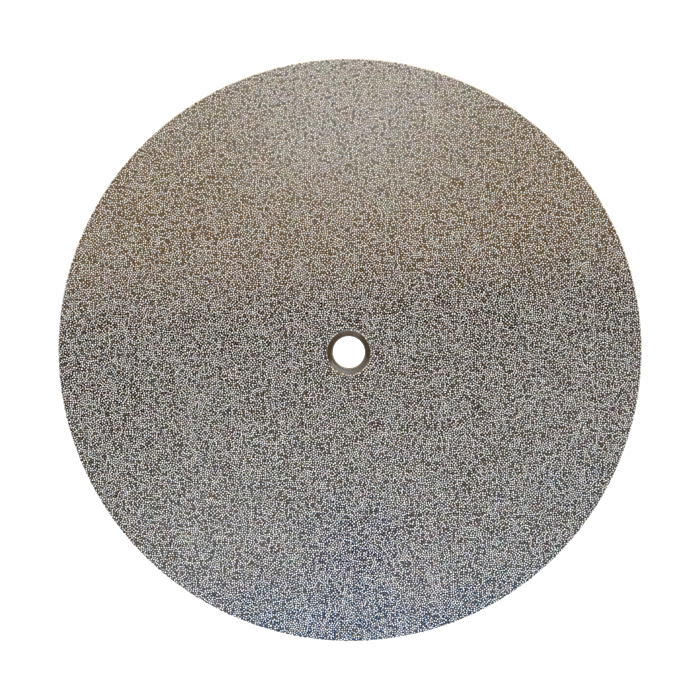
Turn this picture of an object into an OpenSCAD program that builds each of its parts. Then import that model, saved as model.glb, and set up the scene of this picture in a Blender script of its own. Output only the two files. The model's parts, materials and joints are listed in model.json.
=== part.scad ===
// Electroplated diamond grinding wheel: a flat lapidary disc, working face up.
// It lies on its back face: the origin is on the bore's axis at the back face, and +Z leaves the grit.

/* [Disc] */
// Outside diameter over the plated rim: 8 in
disc_d = 203.2; // [120:0.1:300]
// Thickness of the bare steel blank: 1/8 in
core_t = 3.2; // [1.6:0.1:6]
// Edge break on both rims of the blank
rim_edge = 0.25; // [0.1:0.05:0.6]

/* [Bore] */
// Diameter of the arbor hole: 7/16 in
bore_d = 11.11; // [6:0.01:25.4]
// Edge break at both ends of the bore
bore_edge = 0.45; // [0.1:0.05:0.6]
// Diameter of the grit-free land that the plating plug leaves round the bore
land_d = 15; // [8:0.1:32]

/* [Plating] */
// Nickel strike over the working face and the rim
strike_t = 0.04; // [0.02:0.01:0.1]
// Tack coat of nickel that pins the crystals down
tack_t = 0.06; // [0.04:0.01:0.2]
// Build-up coat of nickel that holds the crystals
bond_t = 0.17; // [0.1:0.01:0.25]
// Height of the diamond crystals, which stand on the strike
crystal_h = 0.55; // [0.5:0.01:0.9]

/* [Hidden] */
$fn = 180;

core_r = disc_d / 2 - strike_t;
bore_r = bore_d / 2;
bore_mouth_r = bore_r + bore_edge;
// The crystals cover the flat of the face, from the land out to the rim's edge break.
land_r = max(land_d / 2, bore_mouth_r + 0.1);
plated_r = core_r - rim_edge;

strike_z = core_t + strike_t;
tack_z = strike_z + tack_t;
bond_z = tack_z + bond_t;
crystal_top_z = strike_z + crystal_h;

// How far an offset moves a corner along each side of a 45 degree edge break
corner_shift = strike_t * tan(22.5);

// A flat ring between two radii and two heights
module ring(inner_r, outer_r, low_z, high_z) {
    translate([0, 0, low_z])
        rotate_extrude()
            translate([inner_r, 0])
                square([outer_r - inner_r, high_z - low_z]);
}

// The ground steel blank, with its edges broken at the rim and at both ends of the bore
module steel_core() {
    color("lightsteelblue")
        rotate_extrude()
            polygon([
                [bore_mouth_r, 0],
                [core_r - rim_edge, 0],
                [core_r, rim_edge],
                [core_r, core_t - rim_edge],
                [core_r - rim_edge, core_t],
                [bore_mouth_r, core_t],
                [bore_r, core_t - bore_edge],
                [bore_r, bore_edge]
            ]);
}

// The nickel flash over the face, the front edge break and the rim. The back and the bore are masked.
module nickel_strike() {
    color("gainsboro")
        rotate_extrude()
            polygon([
                [bore_mouth_r, core_t],
                [core_r - rim_edge, core_t],
                [core_r, core_t - rim_edge],
                [core_r, rim_edge],
                [core_r + strike_t, rim_edge],
                [core_r + strike_t, core_t - rim_edge + corner_shift],
                [core_r - rim_edge + corner_shift, strike_z],
                [bore_mouth_r, strike_z]
            ]);
}

// The first nickel coat round the feet of the crystals
module nickel_tack() {
    color("silver")
        ring(land_r, plated_r, strike_z, tack_z);
}

// The build-up coat of nickel, about half as deep as the crystals
module nickel_bond() {
    color("tan")
        ring(land_r, plated_r, tack_z, bond_z);
}

// The single layer of crystals, as the closed band that their exposed points fill
module diamond_grit() {
    color("dimgray")
        ring(land_r, plated_r, bond_z, crystal_top_z);
}

steel_core();
nickel_strike();
nickel_tack();
nickel_bond();
diamond_grit();
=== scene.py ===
"""The looks of an electroplated diamond grinding disc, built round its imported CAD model."""

import json
import math
from itertools import product

import bpy
import numpy as np
from mathutils import Matrix, Vector


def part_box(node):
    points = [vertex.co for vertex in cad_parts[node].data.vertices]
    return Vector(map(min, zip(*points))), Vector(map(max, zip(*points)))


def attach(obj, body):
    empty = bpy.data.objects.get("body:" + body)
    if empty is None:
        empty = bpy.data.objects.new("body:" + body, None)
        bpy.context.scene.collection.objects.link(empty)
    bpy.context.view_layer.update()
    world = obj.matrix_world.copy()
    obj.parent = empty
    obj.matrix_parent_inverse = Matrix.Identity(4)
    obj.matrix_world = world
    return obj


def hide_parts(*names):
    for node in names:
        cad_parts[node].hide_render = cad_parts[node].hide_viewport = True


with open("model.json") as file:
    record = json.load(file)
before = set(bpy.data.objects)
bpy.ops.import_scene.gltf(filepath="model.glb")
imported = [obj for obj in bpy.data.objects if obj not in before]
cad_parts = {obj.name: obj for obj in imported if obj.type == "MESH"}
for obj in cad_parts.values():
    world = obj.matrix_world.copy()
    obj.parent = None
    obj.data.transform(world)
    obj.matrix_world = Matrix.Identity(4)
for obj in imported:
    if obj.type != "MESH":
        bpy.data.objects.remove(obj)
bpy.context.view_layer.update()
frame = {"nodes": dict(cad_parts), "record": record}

MM = 0.001
MICRON = 0.001 * MM
SEED = 20
BODY = "root"

# ---------------------------------------------------------------- sizes from the frame


def radii(node):
    """The smallest and largest distance of a node's points from the bore's axis."""
    points = np.array([v.co[:2] for v in frame["nodes"][node].data.vertices])
    reach = np.hypot(points[:, 0], points[:, 1])
    return float(reach.min()), float(reach.max())


bore_mount = next(m for m in frame["record"]["mounts"] if m["name"] == "bore")
BORE_R = bore_mount["dims"]["r_mm"] * MM
CORE_R = radii("steel_core")[1]
BORE_MOUTH_R, RIM_R = radii("nickel_strike")
LAND_R, PLATED_R = radii("diamond_grit")
CORE_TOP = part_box("steel_core")[1].z
STRIKE_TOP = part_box("nickel_strike")[1].z
TACK_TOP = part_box("nickel_tack")[1].z
BOND_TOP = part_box("nickel_bond")[1].z
RIM_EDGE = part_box("nickel_strike")[0].z

# ---------------------------------------------------------------- camera

CAMERA_DISTANCE = 7.0 * RIM_R
CAMERA_TILT = math.radians(3.9)
CAMERA_TURN = math.radians(27)
FRAME_WIDTH = 2.395 * RIM_R


def add_camera():
    """Looks down at the face from a little towards +Y and +X, with +Y up in the picture."""
    data = bpy.data.cameras.new("camera")
    data.sensor_width = 36.0
    data.lens = data.sensor_width * CAMERA_DISTANCE / FRAME_WIDTH
    data.clip_start = 0.01
    data.clip_end = 50
    camera = bpy.data.objects.new("camera", data)
    bpy.context.scene.collection.objects.link(camera)
    lean = Vector((math.sin(CAMERA_TURN), math.cos(CAMERA_TURN), 0))
    face = Vector((0, 0, BOND_TOP))
    # The near half of the rim looks larger, so the outline's middle is a little towards the camera.
    aim = face + lean * RIM_R * RIM_R * math.sin(CAMERA_TILT) / CAMERA_DISTANCE
    place = face + CAMERA_DISTANCE * (lean * math.sin(CAMERA_TILT) + Vector((0, 0, math.cos(CAMERA_TILT))))
    ahead = (aim - place).normalized()
    right = ahead.cross(Vector((0, 1, 0))).normalized()
    turn = Matrix((right, right.cross(ahead), -ahead)).transposed()
    camera.matrix_world = Matrix.Translation(place) @ turn.to_4x4()
    bpy.context.scene.camera = camera
    return camera


camera = add_camera()

# ---------------------------------------------------------------- node helpers


class Tree:
    """Short names for the nodes that the materials and the sky are made of."""

    def __init__(self, tree):
        self.nodes = tree.nodes
        self.links = tree.links

    def feed(self, socket, value):
        """Links a socket to another node's output, or sets it to a number or a colour."""
        if isinstance(value, bpy.types.NodeSocket):
            self.links.new(value, socket)
        elif isinstance(value, tuple):
            socket.default_value = (*value, 1)
        else:
            socket.default_value = value

    def math(self, operation, *values):
        """The result of one arithmetic operation."""
        node = self.nodes.new("ShaderNodeMath")
        node.operation = operation
        for socket, value in zip(node.inputs, values):
            self.feed(socket, value)
        return node.outputs[0]

    def length(self, across, along):
        """The length of a flat vector."""
        squares = [self.math("POWER", part, 2) for part in (across, along)]
        return self.math("SQRT", self.math("ADD", *squares))

    def step(self, value, low, high, start=0.0, end=1.0):
        """start below low, end above high, and smooth between."""
        node = self.nodes.new("ShaderNodeMapRange")
        node.interpolation_type = "SMOOTHSTEP"
        settings = {"Value": value, "From Min": low, "From Max": high, "To Min": start, "To Max": end}
        for name, setting in settings.items():
            self.feed(node.inputs[name], setting)
        return node.outputs["Result"]

    def ramp(self, value, *stops):
        """Colours along value, at stops of (position from 0 to 1, colour)."""
        node = self.nodes.new("ShaderNodeValToRGB")
        self.feed(node.inputs["Fac"], value)
        ends = node.color_ramp.elements
        while len(ends) < len(stops):
            ends.new(0.5)
        for end, (position, colour) in zip(ends, stops):
            end.position = position
            end.color = (*colour, 1)
        return node.outputs["Color"]

    def mix(self, share, under, over, blend="MIX"):
        """Two colours: only the one under at a share of 0, and only the one over at 1."""
        node = self.nodes.new("ShaderNodeMix")
        node.data_type = "RGBA"
        node.blend_type = blend
        node.clamp_result = False
        # Sockets for numbers, vectors and colours share their names, so these go by place.
        for place, value in ((0, share), (6, under), (7, over)):
            self.feed(node.inputs[place], value)
        return node.outputs[2]


class Look(Tree):
    """A material whose colour, roughness and bump vary from place to place."""

    def __init__(self, name, **constants):
        self.material = bpy.data.materials.new(name)
        self.material.use_nodes = True
        super().__init__(self.material.node_tree)
        self.shader = self.nodes["Principled BSDF"]
        for socket, value in constants.items():
            self.shader.inputs[socket.replace("_", " ")].default_value = value
        self.spot = self.nodes.new("ShaderNodeTexCoord").outputs["Object"]

    def drive(self, socket, value):
        """Links another node's output to one of the shader's sockets."""
        self.links.new(value, self.shader.inputs[socket])

    def noise(self, scale, detail=2.0, output="Fac"):
        """Noise with lumps about 1 / scale metres across."""
        node = self.nodes.new("ShaderNodeTexNoise")
        node.inputs["Scale"].default_value = scale
        node.inputs["Detail"].default_value = detail
        self.links.new(self.spot, node.inputs["Vector"])
        return node.outputs[output]

    def grooves(self, pitch, centre=(0, 0, 0), waver=0.0):
        """Rings a pitch apart round an upright axis, which waver a little."""
        shift = self.nodes.new("ShaderNodeMapping")
        shift.inputs["Location"].default_value = [-c for c in centre]
        self.links.new(self.spot, shift.inputs["Vector"])
        node = self.nodes.new("ShaderNodeTexWave")
        node.wave_type = "RINGS"
        node.rings_direction = "Z"
        # At a scale of 1 the texture's rings are pi / 10 apart.
        node.inputs["Scale"].default_value = math.pi / 10 / pitch
        node.inputs["Distortion"].default_value = waver
        node.inputs["Detail Scale"].default_value = 0.5
        self.links.new(shift.outputs["Vector"], node.inputs["Vector"])
        return node.outputs["Fac"]

    def reach(self):
        """The distance from the bore's axis."""
        split = self.nodes.new("ShaderNodeSeparateXYZ")
        self.links.new(self.spot, split.inputs[0])
        return self.length(split.outputs[0], split.outputs[1])

    def mottled(self, colour):
        """The colour with a faint mottling of other hues, about 5 mm across."""
        return self.mix(0.05, colour, self.noise(210, 1, "Color"), "LINEAR_LIGHT")

    def bump(self, *layers):
        """Bumps from layers of (height from 0 to 1, depth in metres)."""
        normal = None
        for height, depth in layers:
            node = self.nodes.new("ShaderNodeBump")
            node.inputs["Distance"].default_value = depth
            self.links.new(height, node.inputs["Height"])
            if normal:
                self.links.new(normal, node.inputs["Normal"])
            normal = node.outputs["Normal"]
        self.links.new(normal, self.shader.inputs["Normal"])


# ---------------------------------------------------------------- materials


def steel_look():
    """Ground mild steel: crossing arcs, brown stains and specks, a rim rubbed bright, and painted shade in
    the bore.
    """
    look = Look("ground_steel", Metallic=1)
    stain = look.step(look.noise(38, 5), 0.44, 0.66)
    speckle = look.step(look.noise(900, 2), 0.60, 0.72)
    colour = look.mix(look.noise(300, 3), (0.60, 0.59, 0.57), (0.50, 0.49, 0.47))
    colour = look.mix(look.math("MULTIPLY", stain, 0.55), colour, (0.36, 0.29, 0.22))
    colour = look.mix(look.math("MULTIPLY", speckle, 0.35), colour, (0.22, 0.15, 0.10))
    from_rim = look.math("SUBTRACT", CORE_R, look.reach())
    rubbed = look.step(from_rim, 0.1 * MM, 0.9 * MM, 0.8, 0.0)
    colour = look.mix(rubbed, colour, (0.68, 0.67, 0.65))
    # The bore's edge break gets a painted dark-brown shade, and its wall a nearly black painted shade, as
    # inside a dim hole.
    painted_mouth_shade = look.step(look.reach(), BORE_MOUTH_R, BORE_MOUTH_R + 0.2 * MM, 1.0, 0.0)
    colour = look.mix(painted_mouth_shade, colour, (0.30, 0.25, 0.20))
    # Painted shade: the bore's wall is made nearly black.
    wall = look.step(look.reach(), BORE_R + 0.02 * MM, BORE_R + 0.12 * MM, 1.0, 0.0)
    look.drive("Base Color", look.mix(wall, colour, (0.10, 0.085, 0.07)))
    arcs = look.grooves(0.55 * MM, (1.35 * RIM_R, 0.4 * RIM_R, 0), 1.5)
    counter_arcs = look.grooves(0.8 * MM, (-1.2 * RIM_R, 0.9 * RIM_R, 0), 1.5)
    rough = look.math("ADD", look.math("MULTIPLY", arcs, 0.08), look.step(stain, 0, 1, 0.26, 0.42))
    look.drive("Roughness", rough)
    look.bump((arcs, 3 * MICRON), (counter_arcs, 2 * MICRON), (look.noise(2200, 2), 3 * MICRON))
    return look.material


def flash_look():
    """Thin bright nickel that still shows the lathe's marks under it, tarnished, and dull at the rim."""
    look = Look("nickel_flash", Metallic=1)
    tarnish = look.step(look.noise(70, 4), 0.42, 0.64)
    colour = look.mix(look.noise(700, 3), (0.64, 0.59, 0.52), (0.55, 0.50, 0.43))
    colour = look.mix(look.math("MULTIPLY", tarnish, 0.6), colour, (0.46, 0.38, 0.28))
    # Plating current is strongest at the rim and leaves the nickel there dull and grey.
    burnt = look.step(look.reach(), RIM_R - 0.3 * MM, RIM_R - 0.02 * MM)
    streaks = look.mix(look.noise(160, 3), (0.42, 0.40, 0.37), (0.27, 0.255, 0.235))
    look.drive("Base Color", look.mix(burnt, colour, streaks))
    lathe_marks = look.grooves(0.16 * MM, waver=0.6)
    marked = look.math("MULTIPLY", lathe_marks, 0.05)
    rough = look.math("ADD", marked, look.step(tarnish, 0, 1, 0.11, 0.24))
    look.drive("Roughness", look.math("MULTIPLY_ADD", burnt, 0.22, rough))
    look.bump((lathe_marks, 0.6 * MICRON), (look.noise(2600, 2), 1.5 * MICRON))
    return look.material


def nickel_look():
    """The deep nickel between the crystals: nearly a mirror, a little wavy, in two tones that merge."""
    look = Look("nickel_plate", Metallic=1)
    colour = look.mix(look.step(look.noise(30, 3), 0.35, 0.65), (0.64, 0.60, 0.53), (0.60, 0.53, 0.44))
    look.drive("Base Color", look.mottled(colour))
    look.drive("Roughness", look.step(look.noise(500, 3), 0.3, 0.7, 0.05, 0.13))
    look.bump((look.noise(1500, 2), 2.5 * MICRON))
    return look.material


def diamond_look():
    """Diamond grit: each crystal has its own tone, and about one in twelve is still capped with nickel."""
    look = Look("diamond", IOR=2.42)
    tint = look.nodes.new("ShaderNodeAttribute")
    tint.attribute_name = "tint"
    capped = look.step(tint.outputs["Fac"], 0.07, 0.09, 1.0, 0.0)
    clean = look.ramp(
        tint.outputs["Fac"],
        (0.09, (0.040, 0.037, 0.034)),
        (0.26, (0.460, 0.434, 0.418)),
        (1.00, (0.680, 0.650, 0.635)),
    )
    colour = look.mix(capped, clean, (0.36, 0.33, 0.28))
    look.drive("Metallic", capped)
    look.drive("Base Color", look.mottled(colour))
    look.drive("Roughness", look.step(look.noise(3200, 1), 0.35, 0.65, 0.05, 0.22))
    return look.material


STEEL = steel_look()
FLASH = flash_look()
NICKEL = nickel_look()
DIAMOND = diamond_look()

# ---------------------------------------------------------------- mesh helpers

TURN_STEPS = 720


def link(name, mesh):
    """A new object in the scene."""
    piece = bpy.data.objects.new(name, mesh)
    bpy.context.scene.collection.objects.link(piece)
    return piece


def mesh_from_arrays(name, points, corners, starts):
    """A mesh from flat arrays: each face begins in corners at its entry of starts."""
    mesh = bpy.data.meshes.new(name)
    mesh.vertices.add(len(points))
    mesh.vertices.foreach_set("co", points.astype(np.float32).ravel())
    mesh.loops.add(len(corners))
    mesh.loops.foreach_set("vertex_index", corners.astype(np.int32))
    mesh.polygons.add(len(starts))
    mesh.polygons.foreach_set("loop_start", starts.astype(np.int32))
    mesh.update(calc_edges=True)
    mesh.validate()
    return mesh


def turned(profile, steps=TURN_STEPS):
    """The points of a (radius, height) outline at each step of a turn: an array of steps by points by 3."""
    profile = np.array(profile)
    angle = np.linspace(0, 2 * math.pi, steps, endpoint=False)
    across = np.outer(np.cos(angle), profile[:, 0])
    along = np.outer(np.sin(angle), profile[:, 0])
    height = np.outer(np.ones(steps), profile[:, 1])
    return np.stack([across, along, height], axis=-1)


def ring_mesh(name, points):
    """The closed skin of turned points."""
    steps, count = points.shape[:2]
    here = np.arange(steps)[:, None] * count
    there = ((np.arange(steps) + 1) % steps)[:, None] * count
    low = np.arange(count)[None, :]
    high = (low + 1) % count
    corners = np.stack([here + low, there + low, there + high, here + high], axis=-1).ravel()
    return mesh_from_arrays(name, points.reshape(-1, 3), corners, np.arange(0, len(corners), 4))


def rounded(outline, radius, steps=4):
    """A closed outline with its corners turned into arcs. A corner's third number is its own radius."""
    out = []
    for i, point in enumerate(outline):
        corner = Vector(point[:2])
        before = Vector(outline[i - 1][:2]) - corner
        after = Vector(outline[(i + 1) % len(outline)][:2]) - corner
        wanted = point[2] if len(point) > 2 else radius
        reach = min(wanted, 0.45 * before.length, 0.45 * after.length)
        start = corner + before.normalized() * reach
        end = corner + after.normalized() * reach
        # A point beside each end of the arc keeps the flat next to it shaded flat.
        out.append(tuple(start + before.normalized() * 0.2 * reach))
        for k in range(steps + 1):
            t = k / steps
            out.append(tuple(start * (1 - t) ** 2 + corner * 2 * t * (1 - t) + end * t * t))
        out.append(tuple(end + after.normalized() * 0.2 * reach))
    return out


def waves(phase_seed, count, shortest, longest):
    """A smooth random height over the plane, mostly between -1 and 1: sines of random heading and phase."""
    random = np.random.default_rng(phase_seed)
    heading = random.uniform(0, 2 * math.pi, count)
    length = random.uniform(shortest, longest, count)
    phase = random.uniform(0, 2 * math.pi, count)

    def height(x, y):
        total = np.zeros(np.shape(x))
        for turn, span, start in zip(heading, length, phase):
            total += np.sin((x * math.cos(turn) + y * math.sin(turn)) * 2 * math.pi / span + start)
        return total / math.sqrt(count)

    return height


def finish_piece(piece, material, slot, *nodes, angle=30):
    """Smooth shading with sharp corners, a material, and the CAD nodes that the piece stands for."""
    piece.data.shade_smooth()
    piece.data.set_sharp_from_angle(angle=math.radians(angle))
    piece.data.materials.append(material)
    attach(piece, BODY)
    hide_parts(*nodes)


# ---------------------------------------------------------------- blank and strike

BORE_EDGE = BORE_MOUTH_R - BORE_R
BURR_SOFTENED = 0.2 * MM
# The plug that masked the land left a ragged edge, which the nickel and the crystals follow.
PLUG_WAVE = waves(SEED + 1, 9, 0.9 * MM, 4 * MM)
PLUG_RAGGED = 0.10 * MM
# The flash rises to a lip at the bore's mouth, and eight times as high where HIGH_SIDE points.
LIP = 0.03 * MM
LIP_EXTRA = 7
LIP_START_R = LAND_R + 0.3 * MM
HIGH_SIDE = math.radians(250)


def add_blank():
    """The steel blank, with soft corners."""
    outline = [
        (BORE_MOUTH_R, 0, BURR_SOFTENED),
        (CORE_R - RIM_EDGE, 0),
        (CORE_R, RIM_EDGE),
        (CORE_R, CORE_TOP - RIM_EDGE),
        (CORE_R - RIM_EDGE, CORE_TOP),
        (BORE_MOUTH_R, CORE_TOP, BURR_SOFTENED),
        (BORE_R, CORE_TOP - BORE_EDGE, BURR_SOFTENED),
        (BORE_R, BORE_EDGE, BURR_SOFTENED),
    ]
    piece = link("blank", ring_mesh("blank", turned(rounded(outline, 0.08 * MM))))
    finish_piece(piece, STEEL, "steel", "steel_core")


def add_strike():
    """The flash coat, a little thicker towards the bore's mouth, where plating current gathers."""
    flash = STRIKE_TOP - CORE_TOP
    # How far the coat's corners lie from the steel's, along the sides of a 45 degree edge break
    shift = flash * math.tan(math.radians(22.5))
    land = [(r, STRIKE_TOP) for r in np.linspace(LAND_R + 0.6 * MM, BORE_MOUTH_R + 0.1 * MM, 8)]
    outline = rounded(
        [
            (BORE_MOUTH_R, CORE_TOP, 0),
            (CORE_R - RIM_EDGE, CORE_TOP, 0),
            (CORE_R, CORE_TOP - RIM_EDGE, 0),
            (CORE_R, RIM_EDGE, 0),
            (RIM_R, RIM_EDGE, 0),
            (RIM_R, CORE_TOP - RIM_EDGE + shift),
            (CORE_R - RIM_EDGE + shift, STRIKE_TOP),
        ],
        0.10 * MM,
    )
    points = turned(outline + land + [(BORE_MOUTH_R, STRIKE_TOP - 0.3 * flash)])
    reach = np.hypot(points[..., 0], points[..., 1])
    angle = np.arctan2(points[..., 1], points[..., 0])
    rise = np.clip((LIP_START_R - reach) / (LIP_START_R - BORE_MOUTH_R), 0, 1)
    high_side = np.clip(np.cos(angle - HIGH_SIDE), 0, 1) ** 2
    on_top = points[..., 2] > CORE_TOP + 0.5 * flash
    points[..., 2] += np.where(on_top, LIP * rise * (1 + LIP_EXTRA * high_side), 0)
    piece = link("strike", ring_mesh("strike", points))
    finish_piece(piece, FLASH, "nickel_flash", "nickel_strike", angle=20)


def add_bond():
    """The build-up coat: a faintly wavy top, and a ragged inner edge where the plating plug stood."""
    top = [(r, BOND_TOP) for r in np.linspace(PLATED_R - 0.3 * MM, LAND_R + 0.3 * MM, 56)]
    outline = [(LAND_R, TACK_TOP), (PLATED_R, TACK_TOP), (PLATED_R, BOND_TOP - 0.05 * MM)]
    outline += [(PLATED_R - 0.06 * MM, BOND_TOP)] + top
    outline += [(LAND_R + 0.08 * MM, BOND_TOP - 0.02 * MM), (LAND_R, BOND_TOP - 0.08 * MM)]
    points = turned(outline, 2 * TURN_STEPS)
    wavy = waves(SEED + 2, 24, 5 * MM, 14 * MM)
    on_top = points[..., 2] > BOND_TOP - 0.01 * MM
    points[..., 2] += np.where(on_top, 4 * MICRON * wavy(points[..., 0], points[..., 1]), 0)
    reach = np.hypot(points[..., 0], points[..., 1])
    near_plug = np.clip(1 - (reach - LAND_R) / MM, 0, 1)
    grow = 1 + near_plug * PLUG_RAGGED * np.abs(PLUG_WAVE(points[..., 0], points[..., 1])) / reach
    points[..., :2] *= grow[..., None]
    piece = link("bond", ring_mesh("bond", points))
    finish_piece(piece, NICKEL, "nickel", "nickel_bond")


add_blank()
add_strike()
add_bond()
tack = frame["nodes"]["nickel_tack"]
tack.data.materials.clear()
tack.data.materials.append(NICKEL)

# ---------------------------------------------------------------- crystals

CRYSTAL_GAP = 0.64 * MM
CRYSTAL_R = 0.53 * CRYSTAL_GAP
TILT = math.radians(2.5)
SECTORS = 12
SCATTER_PASSES = 14
SPREAD_PASSES = 6
SPREAD_STEP = 0.12
# Where an empty cell's crystal is said to be, far from every real one
NOWHERE = 1e3


def inner_limit(x, y):
    """How near the bore the crystals come: the plating plug left a ragged edge."""
    return LAND_R + 0.6 * CRYSTAL_R + 2 * PLUG_RAGGED * np.abs(PLUG_WAVE(x, y))


def scatter(random):
    """Points over the plated ring, at first no two closer than the gap. A cell holds at most one."""
    cell = CRYSTAL_GAP / math.sqrt(2)
    pad = 2
    side = int(2 * PLATED_R / cell) + 1 + 2 * pad
    low = -side * cell / 2
    spot = np.full((side, side, 2), NOWHERE)
    taken = np.zeros((side, side), bool)
    for _ in range(SCATTER_PASSES):
        # Cells three apart can't hold points within a gap of each other, so every ninth is tried at once.
        for a, b in product(range(3), repeat=2):
            i = np.arange(pad + a, side - pad, 3)
            j = np.arange(pad + b, side - pad, 3)
            i, j = (index.ravel() for index in np.meshgrid(i, j, indexing="ij"))
            free = ~taken[i, j]
            i, j = i[free], j[free]
            x = low + (i + random.random(len(i))) * cell
            y = low + (j + random.random(len(j))) * cell
            reach = np.hypot(x, y)
            good = (reach > inner_limit(x, y)) & (reach < PLATED_R)
            for di, dj in product(range(-2, 3), repeat=2):
                near = spot[i + di, j + dj]
                good &= np.hypot(near[:, 0] - x, near[:, 1] - y) > CRYSTAL_GAP
            i, j, x, y = i[good], j[good], x[good], y[good]
            spot[i, j] = np.stack([x, y], axis=-1)
            taken[i, j] = True
    return spread_out(spot, taken, pad)


def spread_out(spot, taken, pad):
    """Lets neighbours push each other apart, as crystals do when they are tumbled into one packed layer."""
    i, j = np.nonzero(taken)
    reach = 1.4 * CRYSTAL_GAP
    grid = np.full((spot.shape[0] + 2 * pad, spot.shape[1] + 2 * pad, 2), NOWHERE)
    for _ in range(SPREAD_PASSES):
        grid[pad:-pad, pad:-pad] = spot
        here = spot[i, j]
        push = np.zeros_like(here)
        for di, dj in product(range(-3, 4), repeat=2):
            if di == 0 and dj == 0:
                continue
            apart = here - grid[i + di + pad, j + dj + pad]
            away = np.linalg.norm(apart, axis=1)[:, None]
            push += np.where(away < reach, apart * (reach / away - 1), 0)
        moved = here + SPREAD_STEP * push
        radius = np.linalg.norm(moved, axis=1)
        kept_in = np.clip(radius, inner_limit(moved[:, 0], moved[:, 1]), PLATED_R)
        spot[i, j] = moved * (kept_in / radius)[:, None]
    return spot[i, j]


def turns_to_lie(random, normals, count):
    """Rotations that lay a crystal on a face, at any heading. Most tilt very little, and a few a lot."""
    up = normals[random.integers(len(normals), size=count)]
    up = up + TILT * random.exponential(size=(count, 1)) * random.normal(size=(count, 3))
    up /= np.linalg.norm(up, axis=1)[:, None]
    side = np.cross(up, random.normal(size=(count, 3)))
    side /= np.linalg.norm(side, axis=1)[:, None]
    return np.stack([side, np.cross(up, side), up], axis=1)


def uneven_tints(random, spots):
    """A tint from 0 to 1 for each crystal, unlike its neighbours', so that like tints don't gather."""
    tint = random.random(len(spots))
    cell = 1.5 * CRYSTAL_GAP
    i, j = ((spots + PLATED_R) / cell).astype(int).T + 1
    side = int(2 * PLATED_R / cell) + 4
    for _ in range(2):
        total = np.zeros((side, side))
        number = np.zeros((side, side))
        np.add.at(total, (i, j), tint)
        np.add.at(number, (i, j), 1)
        near_total = sum(total[i + di, j + dj] for di, dj in product((-1, 0, 1), repeat=2))
        near_number = sum(number[i + di, j + dj] for di, dj in product((-1, 0, 1), repeat=2))
        tint = tint - near_total / near_number
    return tint.argsort().argsort() / len(tint)


def blocky_crystal():
    """A cuboctahedron of unit radius: its points and its faces, wound outwards."""
    points = []
    for a, b in product((-1, 1), repeat=2):
        points += [(a, b, 0), (a, 0, b), (0, a, b)]
    points = np.array(points) / math.sqrt(2)
    normals = [sign * np.eye(3)[axis] for sign in (1, -1) for axis in range(3)]
    normals += [np.array(signs, float) for signs in product((-1, 1), repeat=3)]
    faces = []
    for normal in normals:
        normal /= np.linalg.norm(normal)
        height = points @ normal
        on = np.flatnonzero(height > height.max() - 1e-6)
        across = points[on[0]] - normal * height[on[0]]
        across /= np.linalg.norm(across)
        up = np.cross(normal, across)
        turn = np.arctan2(points[on] @ up, points[on] @ across)
        faces.append(on[np.argsort(turn)])
    return points, faces, np.array(normals)


def add_crystals():
    """Every crystal as its own closed solid, joined into twelve sectors."""
    random = np.random.default_rng(SEED)
    spots = scatter(random)
    count = len(spots)
    base, faces, normals = blocky_crystal()
    size = CRYSTAL_R * random.uniform(0.88, 1.08, (count, 1, 1))
    stretch = random.uniform(0.84, 1.16, (count, 1, 3))
    turns = turns_to_lie(random, normals, count)
    points = np.einsum("nij,nkj->nki", turns, base[None] * stretch * size)
    points[..., 2] += (STRIKE_TOP - points[..., 2].min(axis=1))[:, None]
    points[..., :2] += spots[:, None, :]
    sector = ((np.arctan2(spots[:, 1], spots[:, 0]) / (2 * math.pi)) % 1 * SECTORS).astype(int)
    face_corners = np.concatenate(faces)
    face_starts = np.cumsum([0] + [len(f) for f in faces[:-1]])
    tint = uneven_tints(random, spots)
    for s in range(SECTORS):
        mine = points[sector == s]
        n = len(mine)
        corners = (face_corners[None, :] + np.arange(n)[:, None] * len(base)).ravel()
        starts = (face_starts[None, :] + np.arange(n)[:, None] * len(face_corners)).ravel()
        name = f"grit_sector_{s + 1:02d}"
        piece = link(name, mesh_from_arrays(name, mine.reshape(-1, 3), corners, starts))
        attribute = piece.data.attributes.new("tint", "FLOAT", "FACE")
        attribute.data.foreach_set("value", np.repeat(tint[sector == s], len(faces)).astype(np.float32))
        piece.data.materials.append(DIAMOND)
        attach(piece, BODY)
        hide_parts("diamond_grit")


add_crystals()

# ---------------------------------------------------------------- studio


def add_floor():
    """A white light table."""
    mesh = bpy.data.meshes.new("floor")
    half = 6.0
    corners = [(-half, -half, 0), (half, -half, 0), (half, half, 0), (-half, half, 0)]
    mesh.from_pydata(corners, [], [(0, 1, 2, 3)])
    floor = link("floor", mesh)
    look = Look("floor", Emission_Strength=0.85, Roughness=0.9, Specular_IOR_Level=0.0)
    look.shader.inputs["Base Color"].default_value = (0.5, 0.5, 0.5, 1)
    look.shader.inputs["Emission Color"].default_value = (1, 1, 1, 1)
    mesh.materials.append(look.material)


def add_lamp(name, side, height, colour, power):
    """A soft box over one side of the disc, aimed at its middle, that the metal doesn't mirror."""
    data = bpy.data.lights.new(name, "AREA")
    data.shape = "RECTANGLE"
    data.size = 3.0 * RIM_R
    data.size_y = 1.5 * RIM_R
    data.color = colour
    data.energy = power
    lamp = bpy.data.objects.new(name, data)
    bpy.context.scene.collection.objects.link(lamp)
    lamp.location = (0, side * 2.1 * RIM_R, height)
    lamp.rotation_euler = (-lamp.location).to_track_quat("-Z", "Y").to_euler()
    lamp.visible_camera = False
    lamp.visible_glossy = False


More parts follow.
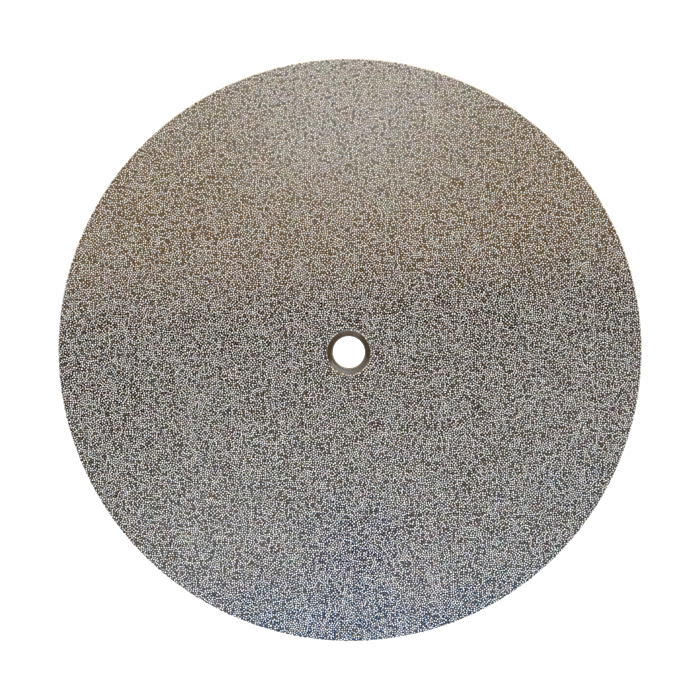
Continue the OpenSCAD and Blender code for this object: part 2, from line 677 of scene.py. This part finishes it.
def add_sky():
    """The room: overhead what the flat nickel mirrors, and round that a ceiling, a wall and a low light."""
    world = bpy.data.worlds.new("studio")
    bpy.context.scene.world = world
    world.use_nodes = True
    sky = Tree(world.node_tree)
    split = sky.nodes.new("ShaderNodeSeparateXYZ")
    sky.links.new(sky.nodes.new("ShaderNodeTexCoord").outputs["Generated"], split.inputs[0])
    x, y, z = split.outputs
    up = sky.math("MAXIMUM", z, 0.02)
    # Where on the disc, in radii, a flat mirror shows this direction to the camera
    eye = camera.location
    height = (eye.z - BOND_TOP) / RIM_R
    a = sky.math("MULTIPLY_ADD", sky.math("DIVIDE", x, up), height, eye.x / RIM_R)
    b = sky.math("MULTIPLY_ADD", sky.math("DIVIDE", y, up), height, eye.y / RIM_R)

    def away_from(across, along):
        return sky.length(sky.math("SUBTRACT", a, across), sky.math("SUBTRACT", b, along))

    # Bands overhead from -Y to +Y, a little uphill to +X: blue, grey, a dark shelf and warm wood
    low, high = -1.3, 1.3
    slope = 0.075
    level = sky.math("MULTIPLY_ADD", a, -slope, b)
    share = sky.math("MULTIPLY_ADD", level, 1 / (high - low), -low / (high - low))
    stops = [
        (-1.00, (0.001, 0.090, 0.30)),
        (-0.88, (0.005, 0.070, 0.23)),
        (-0.76, (0.085, 0.084, 0.085)),
        (-0.40, (0.075, 0.067, 0.061)),
        (-0.05, (0.055, 0.042, 0.033)),
        (0.05, (0.030, 0.020, 0.013)),
        (0.10, (0.003, 0.001, 0.001)),
        (0.18, (0.003, 0.001, 0.001)),
        (0.25, (0.16, 0.082, 0.018)),
        (0.45, (0.22, 0.125, 0.030)),
        (0.70, (0.245, 0.165, 0.070)),
        (1.00, (0.34, 0.29, 0.22)),
    ]
    colour = sky.ramp(share, *[((at - low) / (high - low), shade) for at, shade in stops])
    # Round cards hung under the bands: where, how far out each is whole, where it ends, and its colour
    cards = [
        (0.00, 1.00, 0.15, 0.65, (0.50, 0.50, 0.50)),
        (-1.00, -0.22, 0.10, 0.62, (0.020, 0.008, 0.001)),
        (-0.13, -0.73, 0.02, 0.12, (0.24, 0.20, 0.21)),
        (0.23, -0.76, 0.03, 0.14, (0.24, 0.20, 0.21)),
        (-0.45, -0.62, 0.05, 0.30, (0.150, 0.155, 0.170)),
        (0.03, -0.67, 0.10, 0.20, (0.0, 0.020, 0.14)),
        (0.78, -0.45, 0.05, 0.15, (0.0, 0.035, 0.10)),
    ]
    for across, along, whole, end, shade in cards:
        colour = sky.mix(sky.step(away_from(across, along), whole, end), shade, colour)
    ceiling = sky.mix(sky.step(b, -3.0, 3.0), (0.48, 0.51, 0.54), (0.55, 0.48, 0.38))
    # A long window low down on the +Y side lights the far side of the bore's mouth.
    low_down = sky.mix(sky.step(y, 0.75, 0.95), (1.05, 1.05, 1.05), (3.4, 3.4, 3.4))
    wall = (0.40, 0.39, 0.38)
    room = sky.mix(sky.step(z, 0.16, 0.30), low_down, wall)
    room = sky.mix(sky.step(z, 0.62, 0.74), room, ceiling)
    colour = sky.mix(sky.step(away_from(0, 0), 1.1, 1.6), colour, room)
    sky.links.new(colour, sky.nodes["Background"].inputs["Color"])


add_floor()
add_lamp("warm_box", 1, 3.0 * RIM_R, (1.0, 0.68, 0.24), 0.82)
add_lamp("cool_box", -1, 2.6 * RIM_R, (0.66, 0.82, 0.99), 2.24)
add_sky()
bpy.context.scene.view_settings.view_transform = "Standard"
# Each crystal is about two pixels wide, and denoising would smear them into worms.
bpy.context.scene.cycles.use_denoising = False
